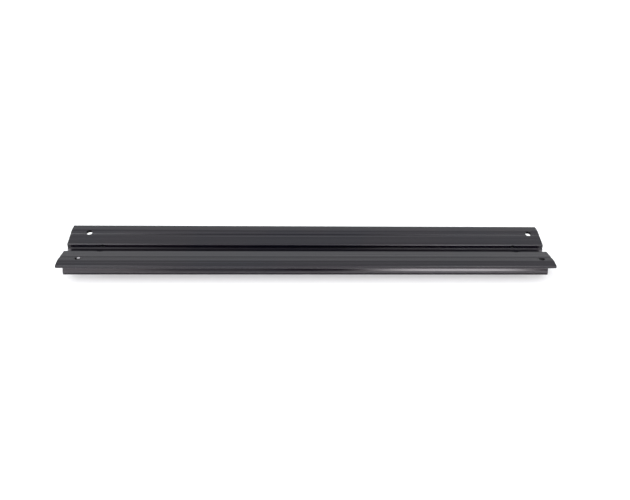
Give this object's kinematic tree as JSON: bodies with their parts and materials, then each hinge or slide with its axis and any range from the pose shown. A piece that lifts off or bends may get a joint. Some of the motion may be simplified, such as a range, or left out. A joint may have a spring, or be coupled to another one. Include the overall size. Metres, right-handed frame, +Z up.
{
  "type": "telescope dovetail bar",
  "caption": "Extruded aluminium dovetail bar with angled flanks, two curved wings, a trough along the middle, hollow legs and mounting holes near its ends.",
  "frame": {"origin": "mid length, on the mid plane of the section, at the level of the foot that the bar rests on", "axes": "+X along the bar, +Y across it, +Z up from the foot to the wings"},
  "size_m": [0.495, 0.0716, 0.0219],
  "materials": {
    "black_anodised": "satin black anodised, with fine lines along the extrusion"
  },
  "bodies": {
    "root": {"dovetail_bar": "black_anodised"}
  },
  "joints": []
}
